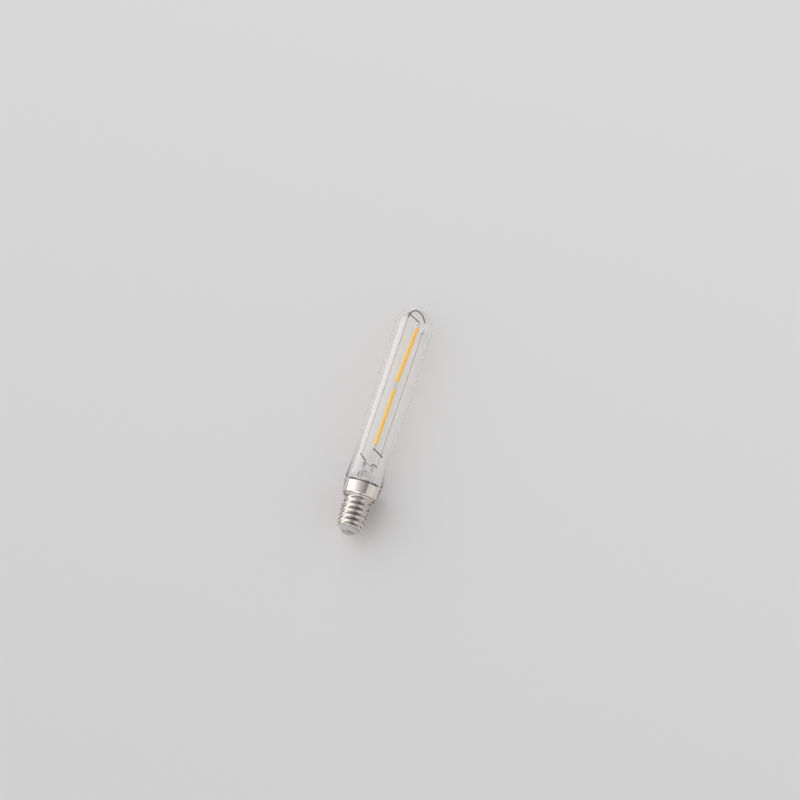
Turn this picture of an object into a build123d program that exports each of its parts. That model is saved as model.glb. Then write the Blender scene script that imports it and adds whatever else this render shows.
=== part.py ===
from build123d import *

import os
from math import cos, hypot, pi, radians, sin, tan

os.makedirs("parts", exist_ok=True)

# Driving dimensions in millimetres.
# The bulb lies along +Y, with Y = 0 on the face of the centre contact, the dome towards +Y and +Z up.

# Glass envelope: depths are below the cap's rim
OVERALL_LENGTH = 124.0
GLASS_DIAMETER = 19.2
GLASS_WALL = 0.8
NECK_DEPTH = 4.8
SHOULDER_DEPTH = 1.6
SHOULDER_HEIGHT = 4.2
SHOULDER_WIDTH = 1.55

# Screw cap: thread, lower end, collar round the neck and flared rim
THREAD_MAJOR = 13.89
THREAD_DEPTH = 0.8
THREAD_PITCH = 2.822
THREAD_CREST_AT = 4.7
THREAD_FOOT_WIDTH = 2.35
THREAD_CREST_WIDTH = 0.62
SHEET = 0.28
SHELL_FOOT = 2.65
SHELL_END_EDGE = 0.1
LIP_WIDTH = 0.265
LIP_HEIGHT = 0.9
CAP_SHOULDER_HEIGHT = 1.95
CAP_STEP = 0.1
COLLAR_HEIGHT = 6.65
COLLAR_TAPER = 0.15
RIM_HEIGHT = 26.2
FLARE_HEIGHT = 2.0
FLARE_WIDTH = 0.95
CEMENT_GAP = 0.22
CEMENT_HEIGHT = 2.6

# Centre contact and the insulator that carries it
CONTACT_DIAMETER = 6.2
CONTACT_THICKNESS = 0.7
CONTACT_EDGE = 0.25
DIMPLE_DIAMETER = 0.9
DIMPLE_DEPTH = 0.35
SHANK_DIAMETER = 2.0
SHANK_LENGTH = 3.9
NOSE_MARGIN = 0.3
INSULATOR_FLANGE = 2.45
INSULATOR_FIT = 0.05

# Glass stem: lengths from the neck's foot, where it is fused to the envelope
STEM_DIAMETER = 9.0
STEM_FLARE_HEIGHT = 2.75
STEM_TUBE_LENGTH = 8.1
PINCH_HEIGHT = 3.5
PRESS_HEIGHT = 3.5
PRESS_WIDTH = 8.0
PRESS_THICKNESS = 2.8
PRESS_OFFSET = -0.4
EXHAUST_DIAMETER = 3.2
EXHAUST_BORE = 1.8
EXHAUST_TAIL = 1.0
EXHAUST_TIP_WALL = 1.0
EXHAUST_PORT_DIAMETER = 1.2

# Wire mount: it stands on the press, in a plane turned about the bulb's axis and leaning a little
MOUNT_TURN = 52.0
MOUNT_LEAN = 0.9
WIRE_SIDES = 8
SUPPORT_WIRE_DIAMETER = 0.5
BAR_DIAMETER = 0.7
BOW_DIAMETER = 0.8
BOW_SIDES = 16
BOW_TOP_GAP = 0.45
BOW_END_TURN = 30.0
LEAD_DIAMETER = 0.7
OUTER_LEAD_DIAMETER = 0.4
LEAD_SPACING = 5.4
LEAD_JOINT_DEPTH = 2.2
LEFT_WIRE_GAP = 1.8
LEFT_WIRE_FOOT = 1.9
LEFT_LEAD_RISE = 1.2
LEFT_WELD_HEIGHT = 2.7
RIGHT_WIRE_FOOT_GAP = 2.8
RIGHT_WIRE_HEAD_GAP = 0.78
RIGHT_WIRE_FOOT = 0.6
RIGHT_LEAD_RISE = 2.0
WELD_TAIL = 0.6
BEAD_DIAMETER = 1.85
BEAD_FOOT_DIAMETER = 0.9
BEAD_HEAD_DIAMETER = 1.1
BEAD_SWELL = 1.4
BEAD_GAP = 3.4
BEAD_FOOT_GRIP = 2.8
BEAD_HEAD_GRIP = 0.25

# LED filaments in line between two hanger bars: heights above the press, reaches across the mount
LOWER_BAR_HEIGHT = 8.6
UPPER_BAR_RISE = 2.15
LOWER_BAR_FALL = 1.0
UPPER_BAR_FALL = 0.7
BAR_TAIL = 1.1
FILAMENT_WIDTH = 1.9
FILAMENT_THICKNESS = 1.4
FILAMENT_ROUND = 0.6
FILAMENT_GAP = 4.6
FILAMENT_JOINT_SHIFT = -0.6
FILAMENT_FOOT_REACH = -0.2
FILAMENT_JOINT_REACH = 0.2
FILAMENT_HEAD_REACH = 2.15
LOWER_TAB_LENGTH = 3.0
UPPER_TAB_LENGTH = 3.3
TAB_WIDTH = 1.0
TAB_THICKNESS = 0.25
TAB_OVERLAP = 2.2

# Driver in the cap: rises are above the board's foot
BOARD_LENGTH = 11.7
BOARD_EDGE_GAP = 0.665
BOARD_THICKNESS = 0.8
BOARD_SLOT_DEPTH = 0.5
BOARD_FIT = 0.05
PAD_HEIGHT = 2.0
PAD_RISE = 0.5
PAD_REACH = 2.4
CAPACITOR_DIAMETER = 4.0
CAPACITOR_LENGTH = 7.0
CAPACITOR_RISE = 1.9
CAPACITOR_REACH = 2.0
RECTIFIER_SIZE = (4.8, 4.0, 2.4)
RECTIFIER_PLACE = (0.6, 6.4)
RECTIFIER_LEG_SPACING = 2.4
CHIP_SIZE = (2.9, 1.6, 1.1)
CHIP_PLACE = (1.4, 2.1)
CHIP_LEG_SPACING = 0.95
PACKAGE_EDGE = 0.2
LEG_WIDTH = 0.5
LEG_THICKNESS = 0.22
LEG_REACH = 0.7
FUSE_DIAMETER = 1.8
FUSE_LENGTH = 3.6
FUSE_LEG_SPACING = 5.4
FUSE_PLACE = (-3.5, 6.9)
RESISTOR_SIZE = (1.6, 3.2, 0.55)
RESISTOR_PLACES = ((-2.6, 3.5), (-2.6, 7.3))
HOOKUP_DIAMETER = 0.4
CONTACT_LEAD_RISE = 2.7
SHELL_LEAD_REACH = 3.5
SHELL_LEAD_SLOPE = 0.5
SHELL_LEAD_HEAD_RISE = 3.9
SHELL_LEAD_BEND_RISE = 2.1

# Radii that follow from the driving dimensions
glass_radius = GLASS_DIAMETER / 2
glass_bore_radius = glass_radius - GLASS_WALL
neck_radius = glass_radius - SHOULDER_WIDTH
neck_bore_radius = neck_radius - GLASS_WALL
crest_radius = THREAD_MAJOR / 2
root_radius = crest_radius - THREAD_DEPTH
shell_bore_radius = root_radius - SHEET
lip_radius = shell_bore_radius - LIP_WIDTH
collar_bore_radius = neck_radius + CEMENT_GAP
waist_radius = collar_bore_radius + SHEET
collar_radius = waist_radius + COLLAR_TAPER
rim_radius = waist_radius + FLARE_WIDTH
nose_radius = CONTACT_DIAMETER / 2 + NOSE_MARGIN
stem_radius = STEM_DIAMETER / 2
hookup_radius = HOOKUP_DIAMETER / 2
tail_radius = OUTER_LEAD_DIAMETER / 2

# Heights above the contact's face, from the cap up to the dome
lip_head = SHELL_FOOT + LIP_HEIGHT
insulator_head = lip_head + INSULATOR_FLANGE
shank_head = CONTACT_THICKNESS + SHANK_LENGTH
board_foot = insulator_head - BOARD_SLOT_DEPTH
board_head = board_foot + BOARD_LENGTH
collar_foot = RIM_HEIGHT - COLLAR_HEIGHT
collar_floor = collar_foot + SHEET
cone_foot = collar_foot - CAP_SHOULDER_HEIGHT
waist_height = RIM_HEIGHT - FLARE_HEIGHT
neck_foot = RIM_HEIGHT - NECK_DEPTH
shoulder_foot = RIM_HEIGHT - SHOULDER_DEPTH
shoulder_head = shoulder_foot + SHOULDER_HEIGHT
tube_head = neck_foot + STEM_TUBE_LENGTH
press_foot = tube_head + PINCH_HEIGHT
press_head = press_foot + PRESS_HEIGHT
dome_centre = OVERALL_LENGTH - glass_radius
thread_start = THREAD_CREST_AT - 2 * THREAD_PITCH

# Places on the wire mount: reaches across it and heights above the press.
# The lean carries its head over to the right.
lead_reach = LEAD_SPACING / 2
left_reach = glass_bore_radius - LEFT_WIRE_GAP
right_foot_reach = glass_bore_radius - RIGHT_WIRE_FOOT_GAP
lean_shift = (dome_centre - press_head) * tan(radians(MOUNT_LEAN))
right_head_reach = glass_bore_radius - RIGHT_WIRE_HEAD_GAP - lean_shift
bow_radius = (left_reach + right_head_reach) / 2
bow_head = OVERALL_LENGTH - GLASS_WALL - BOW_TOP_GAP - BOW_DIAMETER / 2
bow_foot = bow_head - bow_radius - press_head
upper_bar_height = bow_foot + UPPER_BAR_RISE
lower_filament_foot = LOWER_BAR_HEIGHT + LOWER_TAB_LENGTH
upper_filament_head = upper_bar_height - UPPER_TAB_LENGTH
joint_height = (lower_filament_foot + upper_filament_head) / 2 + FILAMENT_JOINT_SHIFT
lower_filament_head = joint_height - FILAMENT_GAP / 2
upper_filament_foot = joint_height + FILAMENT_GAP / 2

# Each support wire lies against its hanger bar, and the two filaments' tabs meet on the mount's plane
lower_bar_offset = (TAB_THICKNESS + BAR_DIAMETER) / 2 + TAB_THICKNESS / 2
upper_bar_offset = -lower_bar_offset
right_wire_offset = lower_bar_offset - (BAR_DIAMETER + SUPPORT_WIRE_DIAMETER) / 2
left_wire_offset = upper_bar_offset + (BAR_DIAMETER + BOW_DIAMETER) / 2
left_lead_offset = left_wire_offset - (LEAD_DIAMETER + SUPPORT_WIRE_DIAMETER) / 2
right_lead_offset = right_wire_offset - (LEAD_DIAMETER + SUPPORT_WIRE_DIAMETER) / 2

# Directions across and out of the mount, and the plane that it is drawn on
along = Vector(0, 1, 0)
across = Vector(cos(radians(MOUNT_TURN)), 0, -sin(radians(MOUNT_TURN)))
facing = Vector(sin(radians(MOUNT_TURN)), 0, cos(radians(MOUNT_TURN)))
mount = Plane(
    origin=across * PRESS_OFFSET + along * press_head,
    x_dir=across * cos(radians(MOUNT_LEAN)) - along * sin(radians(MOUNT_LEAN)),
    z_dir=facing,
)


def level(height):
    """The plane across the bulb at a height, with its X axis in the mount's plane."""
    return Plane(origin=(0, height, 0), x_dir=across, z_dir=along)


def on_mount(reach, height, offset):
    """A point on the wire mount."""
    return mount.from_local_coords(Vector(reach, height, offset))


# Rolled thread: a ridge drawn round the Z axis, one turn a pitch, and trimmed to the cap
with BuildPart() as thread_ridge:
    with BuildLine() as helix:
        Helix(THREAD_PITCH, cone_foot + THREAD_PITCH - thread_start, root_radius)
    with BuildSketch(Plane.XZ):
        Polygon(
            (root_radius - SHEET / 2, -THREAD_FOOT_WIDTH / 2),
            (crest_radius, -THREAD_CREST_WIDTH / 2),
            (crest_radius, THREAD_CREST_WIDTH / 2),
            (root_radius - SHEET / 2, THREAD_FOOT_WIDTH / 2),
            align=None,
        )
    sweep(path=helix.line, is_frenet=True)
    split(bisect_by=Plane.XY.offset(SHELL_FOOT - thread_start), keep=Keep.TOP)
    split(bisect_by=Plane.XY.offset(cone_foot - thread_start), keep=Keep.BOTTOM)

# Drawn cap: threaded sleeve, shoulder, collar and flared rim, with a crest of the thread on the left
with BuildPart() as base_shell:
    with BuildSketch(level(SHELL_FOOT)):
        Circle(root_radius)
    extrude(amount=cone_foot - SHELL_FOOT)
    add(Plane(origin=(0, thread_start, 0), x_dir=(-1, 0, 0), z_dir=along) * thread_ridge.part)
    end_radius = root_radius - SHELL_END_EDGE
    with BuildSketch(Plane.XY):
        Polygon(
            (end_radius, SHELL_FOOT),
            (collar_radius, SHELL_FOOT),
            (collar_radius, SHELL_FOOT + collar_radius - end_radius),
            align=None,
        )
    revolve(axis=Axis.Y, mode=Mode.SUBTRACT)
    with BuildSketch(Plane.XY):
        Polygon(
            (0, cone_foot),
            (crest_radius + CAP_STEP, cone_foot),
            (collar_radius, collar_foot),
            (waist_radius, waist_height),
            (rim_radius, RIM_HEIGHT),
            (0, RIM_HEIGHT),
            align=None,
        )
    revolve(axis=Axis.Y)
    with BuildSketch(Plane.XY):
        Polygon(
            (0, SHELL_FOOT),
            (lip_radius, SHELL_FOOT),
            (lip_radius, lip_head),
            (shell_bore_radius, lip_head),
            (shell_bore_radius, collar_floor),
            (collar_bore_radius, collar_floor),
            (collar_bore_radius, waist_height),
            (rim_radius - SHEET, RIM_HEIGHT),
            (0, RIM_HEIGHT),
            align=None,
        )
    revolve(axis=Axis.Y, mode=Mode.SUBTRACT)
base_shell.part.label = "base_shell"
export_step(base_shell.part, "parts/base_shell.step")


# Moulded insulator: its flange is trapped behind the shell's lip, its nose carries the contact
with BuildPart() as base_insulator:
    with BuildSketch(Plane.XY):
        Polygon(
            (SHANK_DIAMETER / 2, CONTACT_THICKNESS),
            (nose_radius, CONTACT_THICKNESS),
            (lip_radius - INSULATOR_FIT, SHELL_FOOT),
            (lip_radius - INSULATOR_FIT, lip_head),
            (shell_bore_radius - INSULATOR_FIT, lip_head),
            (shell_bore_radius - INSULATOR_FIT, insulator_head),
            (SHANK_DIAMETER / 2, insulator_head),
            align=None,
        )
    revolve(axis=Axis.Y)
    with BuildSketch(Plane.XY.offset(BOARD_FIT)):
        with Locations((0, (board_foot + insulator_head) / 2)):
            Rectangle(THREAD_MAJOR, BOARD_SLOT_DEPTH)
    extrude(amount=-(BOARD_THICKNESS + 2 * BOARD_FIT), mode=Mode.SUBTRACT)
base_insulator.part.label = "base_insulator"
export_step(base_insulator.part, "parts/base_insulator.step")


# Pressed contact: a disc with a small dimple, on a shank that is driven into the insulator
with BuildPart() as centre_contact:
    with BuildSketch(level(0)):
        Circle(CONTACT_DIAMETER / 2)
    extrude(amount=CONTACT_THICKNESS)
    chamfer(centre_contact.edges().sort_by(Axis.Y)[0], CONTACT_EDGE)
    with BuildSketch(level(CONTACT_THICKNESS)):
        Circle(SHANK_DIAMETER / 2)
    extrude(amount=SHANK_LENGTH)
    with BuildSketch(Plane.XY):
        Polygon((0, DIMPLE_DEPTH), (0, 0), (DIMPLE_DIAMETER / 2, 0), align=None)
    revolve(axis=Axis.Y, mode=Mode.SUBTRACT)
centre_contact.part.label = "centre_contact"
export_step(centre_contact.part, "parts/centre_contact.step")


# Blown tube with a domed head, necked in to enter the collar
with BuildPart() as glass_envelope:
    with BuildSketch(Plane.XY):
        with BuildLine():
            Polyline(
                (neck_bore_radius, neck_foot),
                (neck_radius, neck_foot),
                (neck_radius, shoulder_foot),
                (glass_radius, shoulder_head),
                (glass_radius, dome_centre),
            )
            TangentArc((glass_radius, dome_centre), (0, OVERALL_LENGTH), tangent=(0, 1))
            Line((0, OVERALL_LENGTH), (0, OVERALL_LENGTH - GLASS_WALL))
            TangentArc((0, OVERALL_LENGTH - GLASS_WALL), (glass_bore_radius, dome_centre), tangent=(1, 0))
            Polyline(
                (glass_bore_radius, dome_centre),
                (glass_bore_radius, shoulder_head),
                (neck_bore_radius, shoulder_foot),
                (neck_bore_radius, neck_foot),
            )
        make_face()
    revolve(axis=Axis.Y)
glass_envelope.part.label = "glass_envelope"
export_step(glass_envelope.part, "parts/glass_envelope.step")


# Cement ring between the neck and the collar
with BuildPart() as base_cement:
    with BuildSketch(level(neck_foot)):
        Circle(collar_bore_radius)
        Circle(neck_radius, mode=Mode.SUBTRACT)
    extrude(amount=CEMENT_HEIGHT)
base_cement.part.label = "base_cement"
export_step(base_cement.part, "parts/base_cement.step")


# Driver board, standing along the axis in the insulator's slot
board_back = -BOARD_THICKNESS
front_plane = Plane(origin=(0, board_foot, 0))
back_plane = Plane(origin=(0, board_foot, board_back))
with BuildPart() as driver_board:
    with BuildSketch(front_plane):
        with Locations((0, BOARD_LENGTH / 2)):
            Rectangle(2 * (shell_bore_radius - BOARD_EDGE_GAP), BOARD_LENGTH)
    extrude(amount=-BOARD_THICKNESS)
driver_board.part.label = "driver_board"
export_step(driver_board.part, "parts/driver_board.step")

# Electrolytic can, lying on the board's front
with BuildPart() as smoothing_capacitor:
    can_radius = CAPACITOR_DIAMETER / 2
    with BuildSketch(Plane(origin=(CAPACITOR_REACH, board_foot + CAPACITOR_RISE, can_radius), z_dir=along)):
        Circle(can_radius)
    extrude(amount=CAPACITOR_LENGTH)
smoothing_capacitor.part.label = "smoothing_capacitor"
export_step(smoothing_capacitor.part, "parts/smoothing_capacitor.step")

# Moulded packages on the board's back, with flat legs on two sides
packages = {
    "bridge_rectifier": (RECTIFIER_SIZE, RECTIFIER_PLACE, RECTIFIER_LEG_SPACING, 2),
    "driver_chip": (CHIP_SIZE, CHIP_PLACE, CHIP_LEG_SPACING, 3),
}
for name, (size, place, leg_spacing, legs) in packages.items():
    width, depth, height = size
    with BuildPart() as package:
        with BuildSketch(back_plane.offset(-LEG_THICKNESS)):
            with Locations(place):
                Rectangle(width, depth)
        extrude(amount=LEG_THICKNESS - height)
        chamfer(package.faces().sort_by(Axis.Z)[0].edges(), PACKAGE_EDGE)
        with BuildSketch(back_plane):
            with Locations(place):
                with GridLocations(leg_spacing, depth + LEG_REACH, legs, 2):
                    Rectangle(LEG_WIDTH, LEG_REACH)
        extrude(amount=-height / 2)
        with BuildSketch(back_plane.offset(-LEG_THICKNESS)):
            with Locations(place):
                with GridLocations(leg_spacing, depth + LEG_REACH + 2 * LEG_THICKNESS, legs, 2):
                    Rectangle(LEG_WIDTH, LEG_REACH)
        extrude(amount=-height / 2, mode=Mode.SUBTRACT)
    package.part.label = name
    export_step(package.part, f"parts/{name}.step")

# Fusible resistor: a small barrel on a wire whose ends stand on the board's back
with BuildPart() as fuse_resistor:
    barrel_radius = FUSE_DIAMETER / 2
    barrel_plane = Plane(
        origin=(FUSE_PLACE[0], board_foot + FUSE_PLACE[1], board_back - barrel_radius),
        z_dir=along,
    )
    with BuildSketch(barrel_plane):
        Circle(barrel_radius)
    extrude(amount=FUSE_LENGTH / 2, both=True)
    with BuildSketch(barrel_plane):
        RegularPolygon(hookup_radius, WIRE_SIDES)
    extrude(amount=FUSE_LEG_SPACING / 2, both=True)
    with BuildSketch(back_plane):
        with Locations(FUSE_PLACE):
            with GridLocations(0, FUSE_LEG_SPACING, 1, 2):
                RegularPolygon(hookup_radius, WIRE_SIDES)
    extrude(amount=-barrel_radius)
fuse_resistor.part.label = "fuse_resistor"
export_step(fuse_resistor.part, "parts/fuse_resistor.step")

# Pair of surface resistors on the board's front
with BuildPart() as sense_resistors:
    with BuildSketch(front_plane):
        with Locations(*RESISTOR_PLACES):
            Rectangle(RESISTOR_SIZE[0], RESISTOR_SIZE[1])
    extrude(amount=RESISTOR_SIZE[2])
sense_resistors.part.label = "sense_resistors"
export_step(sense_resistors.part, "parts/sense_resistors.step")


# Round wires, each drawn with a few flats through its corners.
# The bow's corners stand round part of a circle, so that its sides touch the circle and its left end is upright.
bow_end_turn = radians(BOW_END_TURN)
bow_step = (pi - bow_end_turn) / BOW_SIDES
bow_middle = (right_head_reach - left_reach) / 2
bow_reach = bow_radius / cos(bow_step / 2)
bow_corners = []
for corner in range(BOW_SIDES):
    turn = bow_end_turn + (corner + 0.5) * bow_step
    bow_corners.append(
        on_mount(bow_middle + bow_reach * cos(turn), bow_foot + bow_reach * sin(turn), left_wire_offset)
    )
bow_end_height = bow_foot + bow_radius * sin(bow_end_turn)
bow_end = on_mount(bow_middle + bow_radius * cos(bow_end_turn), bow_end_height, left_wire_offset)
right_wire_head = on_mount(right_head_reach, bow_end_height - BEAD_GAP, right_wire_offset)
left_joint = on_mount(-lead_reach, -LEAD_JOINT_DEPTH, left_lead_offset)
right_joint = on_mount(lead_reach, -LEAD_JOINT_DEPTH, right_lead_offset)
tail_turn = neck_foot - press_head
wire_back = board_back - hookup_radius
wall_reach = (shell_bore_radius - hookup_radius) / hypot(1, SHELL_LEAD_SLOPE)
wires = {
    # Lead-in wires come up out of the press, bend outwards and pass behind the support wires
    "left_inner_lead": (
        LEAD_DIAMETER,
        left_joint,
        on_mount(-lead_reach, LEFT_LEAD_RISE, left_lead_offset),
        on_mount(-left_reach - WELD_TAIL, LEFT_WELD_HEIGHT, left_lead_offset),
    ),
    "right_inner_lead": (
        LEAD_DIAMETER,
        right_joint,
        on_mount(lead_reach, RIGHT_LEAD_RISE, right_lead_offset),
        on_mount(right_foot_reach + WELD_TAIL, RIGHT_LEAD_RISE, right_lead_offset),
    ),
    # Copper tails, butted to the lead-in wires in the press, run down the stem to the board's two faces
    "left_outer_lead": (
        OUTER_LEAD_DIAMETER,
        left_joint,
        on_mount(-lead_reach, tail_turn, left_lead_offset),
        Vector(-PAD_REACH, board_head + PAD_RISE, tail_radius),
        Vector(-PAD_REACH, board_head - PAD_HEIGHT, tail_radius),
    ),
    "right_outer_lead": (
        OUTER_LEAD_DIAMETER,
        right_joint,
        on_mount(lead_reach, tail_turn, right_lead_offset),
        Vector(PAD_REACH, board_head + PAD_RISE, board_back - tail_radius),
        Vector(PAD_REACH, board_head - PAD_HEIGHT, board_back - tail_radius),
    ),
    # Support wires run up both sides of the tube, and the bow goes over from one to the other under the dome
    "left_support_wire": (
        SUPPORT_WIRE_DIAMETER,
        on_mount(-left_reach, LEFT_WIRE_FOOT, left_wire_offset),
        on_mount(-left_reach, bow_foot, left_wire_offset),
    ),
    "right_support_wire": (
        SUPPORT_WIRE_DIAMETER,
        on_mount(right_foot_reach, RIGHT_WIRE_FOOT, right_wire_offset),
        right_wire_head,
    ),
    "top_bow": (
        BOW_DIAMETER,
        bow_end,
        *bow_corners,
        on_mount(-left_reach, bow_foot, left_wire_offset),
    ),
    # Hanger bars: the lower one is welded to the right wire, the upper one to the foot of the bow
    "lower_hanger_bar": (
        BAR_DIAMETER,
        on_mount(right_foot_reach + BAR_TAIL, LOWER_BAR_HEIGHT - LOWER_BAR_FALL, lower_bar_offset),
        on_mount(FILAMENT_FOOT_REACH - BAR_TAIL, LOWER_BAR_HEIGHT, lower_bar_offset),
    ),
    "upper_hanger_bar": (
        BAR_DIAMETER,
        on_mount(-left_reach, upper_bar_height + UPPER_BAR_FALL, upper_bar_offset),
        on_mount(FILAMENT_HEAD_REACH + BAR_TAIL, upper_bar_height, upper_bar_offset),
    ),
    # Wires from the board to the two poles: the contact's shank and the shell's wall
    "contact_lead": (
        HOOKUP_DIAMETER,
        Vector(0, shank_head, hookup_radius),
        Vector(0, board_foot + CONTACT_LEAD_RISE, hookup_radius),
    ),
    "shell_lead": (
        HOOKUP_DIAMETER,
        Vector(-SHELL_LEAD_REACH, board_foot + SHELL_LEAD_HEAD_RISE, wire_back),
        Vector(-SHELL_LEAD_REACH, board_foot + SHELL_LEAD_BEND_RISE, wire_back),
        Vector(
            -wall_reach,
            board_foot + SHELL_LEAD_BEND_RISE - HOOKUP_DIAMETER,
            -wall_reach * SHELL_LEAD_SLOPE,
        ),
    ),
}
drawn = {}
for name, (diameter, *corners) in wires.items():
    with BuildPart() as wire:
        with BuildLine() as path:
            Polyline(*corners)
        with BuildSketch(Plane(origin=path.line @ 0, z_dir=path.line % 0)):
            RegularPolygon(diameter / 2, WIRE_SIDES)
        sweep(path=path.line, transition=Transition.RIGHT)
    wire.part.label = name
    export_step(wire.part, f"parts/{name}.step")
    drawn[name] = wire.part


# Drop of insulating glass, melted round the ends of the bow and the right wire
with BuildPart() as insulating_bead:
    bead_foot = on_mount(right_head_reach, bow_end_height - BEAD_GAP - BEAD_FOOT_GRIP, right_wire_offset)
    bead_rise = (bow_end - bead_foot).normalized()
    bead_length = (bow_end - bead_foot).length + BEAD_HEAD_GRIP
    bead_side = bead_rise.cross(facing)
    with BuildSketch(Plane(origin=bead_foot, x_dir=bead_side, z_dir=bead_side.cross(bead_rise))):
        Polygon(
            (0, 0),
            (BEAD_FOOT_DIAMETER / 2, 0),
            (BEAD_DIAMETER / 2, BEAD_SWELL),
            (BEAD_DIAMETER / 2, 2 * BEAD_SWELL),
            (BEAD_HEAD_DIAMETER / 2, bead_length),
            (0, bead_length),
            align=None,
        )
    revolve(axis=Axis(bead_foot, bead_rise))
    for name in ("top_bow", "right_support_wire"):
        add(drawn[name], mode=Mode.SUBTRACT)
insulating_bead.part.label = "insulating_bead"
export_step(insulating_bead.part, "parts/insulating_bead.step")


# Lamp-worked stem: flare, tube, flat press round the leads, and the sealed-off exhaust tube
with BuildPart() as glass_stem:
    side_plane = Plane(origin=(0, 0, 0), x_dir=facing, z_dir=-across)
    bore_radius = stem_radius - GLASS_WALL
    flare_back = neck_foot - GLASS_WALL
    exhaust_tip = neck_foot - EXHAUST_TAIL
    with BuildSketch(level(tube_head)):
        Circle(stem_radius)
    extrude(amount=press_head - tube_head)
    for side in (-1, 1):
        with BuildSketch(side_plane):
            Polygon(
                (side * stem_radius, tube_head),
                (side * PRESS_THICKNESS / 2, press_foot),
                (side * PRESS_THICKNESS / 2, press_head),
                (side * stem_radius, press_head),
                align=None,
            )
        extrude(amount=stem_radius, both=True, mode=Mode.SUBTRACT)
        with BuildSketch(level(press_foot)):
            with Locations((PRESS_OFFSET + side * (PRESS_WIDTH / 2 + stem_radius), 0)):
                Rectangle(STEM_DIAMETER, STEM_DIAMETER)
        extrude(amount=PRESS_HEIGHT, mode=Mode.SUBTRACT)
    with BuildSketch(Plane.XY):
        Polygon(
            (bore_radius, flare_back),
            (neck_radius, flare_back),
            (neck_radius, neck_foot),
            (neck_bore_radius, neck_foot),
            (stem_radius, neck_foot + STEM_FLARE_HEIGHT),
            (stem_radius, tube_head),
            (bore_radius, tube_head),
            align=None,
        )
    revolve(axis=Axis.Y)
    with BuildSketch(level(exhaust_tip)):
        Circle(EXHAUST_DIAMETER / 2)
    extrude(amount=tube_head - exhaust_tip)
    with BuildSketch(level(exhaust_tip + EXHAUST_TIP_WALL)):
        Circle(EXHAUST_BORE / 2)
    extrude(amount=press_foot - exhaust_tip - EXHAUST_TIP_WALL, mode=Mode.SUBTRACT)
    with BuildSketch(Plane(origin=(0, press_foot - EXHAUST_PORT_DIAMETER, 0), z_dir=facing)):
        Circle(EXHAUST_PORT_DIAMETER / 2)
    extrude(amount=stem_radius, mode=Mode.SUBTRACT)
    for name in ("left_inner_lead", "right_inner_lead", "left_outer_lead", "right_outer_lead"):
        add(drawn[name], mode=Mode.SUBTRACT)
glass_stem.part.label = "glass_stem"
export_step(glass_stem.part, "parts/glass_stem.step")


# Filaments: coated strips in line, each with a metal tab at both ends
tab_reach = (FILAMENT_GAP + TAB_OVERLAP) / 2
filaments = {
    "lower_filament": (
        on_mount(FILAMENT_FOOT_REACH, lower_filament_foot, TAB_THICKNESS / 2),
        on_mount(FILAMENT_JOINT_REACH, lower_filament_head, TAB_THICKNESS / 2),
        LOWER_TAB_LENGTH + BAR_DIAMETER,
        tab_reach,
    ),
    "upper_filament": (
        on_mount(FILAMENT_JOINT_REACH, upper_filament_foot, -TAB_THICKNESS / 2),
        on_mount(FILAMENT_HEAD_REACH, upper_filament_head, -TAB_THICKNESS / 2),
        tab_reach,
        UPPER_TAB_LENGTH + BAR_DIAMETER,
    ),
}
for name, (foot, head, foot_tab_length, head_tab_length) in filaments.items():
    length = (head - foot).length
    rise = (head - foot).normalized()
    foot_plane = Plane(origin=foot, x_dir=rise.cross(facing), z_dir=rise)
    with BuildPart() as filament:
        with BuildSketch(foot_plane):
            RectangleRounded(FILAMENT_WIDTH, FILAMENT_THICKNESS, FILAMENT_ROUND)
        extrude(amount=length)
    filament.part.label = name
    export_step(filament.part, f"parts/{name}.step")

    for end, plane, tab_length in (
        ("foot", foot_plane, -foot_tab_length),
        ("head", foot_plane.offset(length), head_tab_length),
    ):
        with BuildPart() as tab:
            with BuildSketch(plane):
                Rectangle(TAB_WIDTH, TAB_THICKNESS)
            extrude(amount=tab_length)
        tab.part.label = f"{name}_{end}_tab"
        export_step(tab.part, f"parts/{name}_{end}_tab.step")
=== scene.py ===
from math import ceil, cos, pi, radians, sin, sqrt, tan

import bpy
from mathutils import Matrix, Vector, noise


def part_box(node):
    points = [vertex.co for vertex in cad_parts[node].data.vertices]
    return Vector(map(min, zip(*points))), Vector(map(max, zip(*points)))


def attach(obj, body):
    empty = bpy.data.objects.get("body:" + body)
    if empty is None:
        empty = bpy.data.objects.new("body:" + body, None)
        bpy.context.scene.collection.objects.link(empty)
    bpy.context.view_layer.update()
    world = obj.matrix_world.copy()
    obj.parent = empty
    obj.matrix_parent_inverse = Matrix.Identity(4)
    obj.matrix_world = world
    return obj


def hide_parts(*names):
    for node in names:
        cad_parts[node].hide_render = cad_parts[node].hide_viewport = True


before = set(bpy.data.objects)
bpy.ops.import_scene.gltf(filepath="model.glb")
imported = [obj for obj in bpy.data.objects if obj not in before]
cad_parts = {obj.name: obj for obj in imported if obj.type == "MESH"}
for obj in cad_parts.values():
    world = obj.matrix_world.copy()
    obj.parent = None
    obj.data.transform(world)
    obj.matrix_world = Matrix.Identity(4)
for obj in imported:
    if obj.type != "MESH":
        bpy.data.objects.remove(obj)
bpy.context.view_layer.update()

# Sizes are in millimetres in the part's frame, and MM turns them into metres.
MM = 0.001
SEGMENTS = 128
GLASS_SEGMENTS = 384
ARC_STEPS = 10
SHARP_ANGLE = radians(38)


def node_box(node):
    """Lowest and highest corner of a CAD node, in millimetres."""
    return [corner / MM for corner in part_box(node)]


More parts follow.
